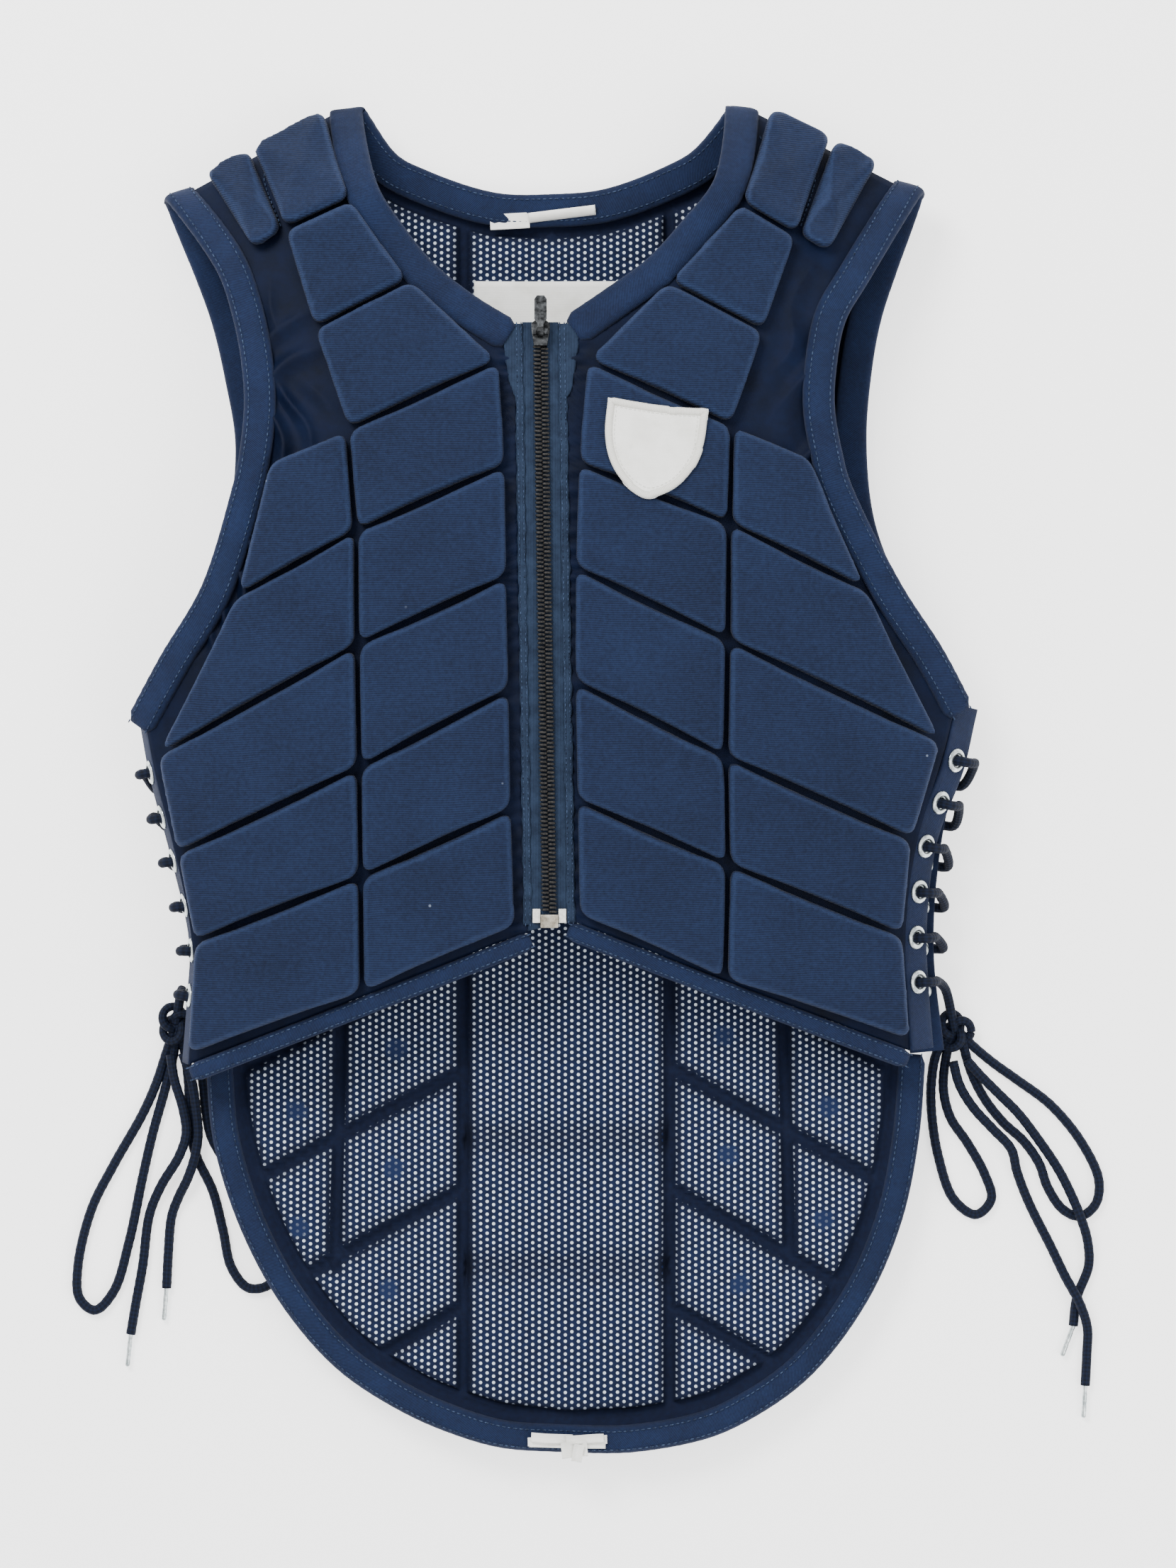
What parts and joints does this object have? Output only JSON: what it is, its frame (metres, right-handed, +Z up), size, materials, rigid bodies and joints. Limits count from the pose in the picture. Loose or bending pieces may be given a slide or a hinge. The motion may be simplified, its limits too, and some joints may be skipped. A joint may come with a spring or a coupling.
{
  "type": "equestrian body protector",
  "caption": "Sleeveless padded vest with separate foam blocks, a front zip, laced sides and a long rounded tail, lying on its back",
  "frame": {"origin": "middle of the floor under the vest, which lies on its back, measured without its laces", "axes": "+Y to the shoulders, +X to the wearer's left (the viewer's right, seen from above), +Z up, away from the floor"},
  "size_m": [0.603, 0.7826, 0.0919],
  "materials": {
    "foam_pad": "fine horizontally ribbed navy knit over soft foam",
    "shell_cloth": "dark navy woven cloth with a slight sheen, gathered between the pads",
    "binding_tape": "navy twill tape with rows of stitches",
    "mesh_lining": "navy knitted mesh with round holes over a white layer",
    "lace_cord": "very dark navy braid",
    "aglet_tin": "crimped tin, lightly brushed",
    "zip_tape": "navy woven zip tape with edge stitches",
    "zip_coil": "dark moulded coil",
    "dark_metal": "gunmetal, worn on the edges",
    "white_label": "white woven label"
  },
  "bodies": {
    "vest": {"front_panel_left": "shell_cloth", "shoulder_pad_inner_left": "foam_pad", "shoulder_pad_outer_left": "foam_pad", "chest_pad_1_left": "foam_pad", "chest_pad_2_left": "foam_pad", "chest_pad_3_left": "foam_pad", "side_pad_1_left": "foam_pad", "chest_pad_4_left": "foam_pad", "side_pad_2_left": "foam_pad", "chest_pad_5_left": "foam_pad", "side_pad_3_left": "foam_pad", "chest_pad_6_left": "foam_pad", "side_pad_4_left": "foam_pad", "chest_pad_7_left": "foam_pad", "side_pad_5_left": "foam_pad", "front_panel_right": "shell_cloth", "shoulder_pad_inner_right": "foam_pad", "shoulder_pad_outer_right": "foam_pad", "chest_pad_1_right": "foam_pad", "chest_pad_2_right": "foam_pad", "chest_pad_3_right": "foam_pad", "side_pad_1_right": "foam_pad", "chest_pad_4_right": "foam_pad", "side_pad_2_right": "foam_pad", "chest_pad_5_right": "foam_pad", "side_pad_3_right": "foam_pad", "chest_pad_6_right": "foam_pad", "side_pad_4_right": "foam_pad", "chest_pad_7_right": "foam_pad", "side_pad_5_right": "foam_pad", "back_lining": "mesh_lining", "back_foam": "foam_pad", "armhole_binding_left": "binding_tape", "hem_binding_left": "binding_tape", "armhole_binding_right": "binding_tape", "hem_binding_right": "binding_tape", "neck_binding": "binding_tape", "tail_binding": "binding_tape", "zip_tape": "zip_tape", "zip_teeth": "zip_coil", "zip_slider": "dark_metal", "front_eyelet_strip_left": "shell_cloth", "back_eyelet_strip_left": "shell_cloth", "lacing_left": "lace_cord", "lace_end_1_left": "lace_cord", "aglet_1_left": "aglet_tin", "lace_end_2_left": "lace_cord", "aglet_2_left": "aglet_tin", "front_eyelet_strip_right": "shell_cloth", "back_eyelet_strip_right": "shell_cloth", "lacing_right": "lace_cord", "lace_end_1_right": "lace_cord", "aglet_1_right": "aglet_tin", "lace_end_2_right": "lace_cord", "aglet_2_right": "aglet_tin", "badge": "white_label", "lining_label": "white_label", "size_label": "white_label", "care_label": "white_label"},
    "zip_pull": {"zip_pull": "dark_metal"}
  },
  "joints": [
    {"name": "zip_pull_swing", "type": "hinge", "parent": "vest", "child": "zip_pull", "pos_m": [-0.00612, 0.25564, 0.0818], "axis": [1, 0, 0], "range_deg": [0, 170]}
  ]
}
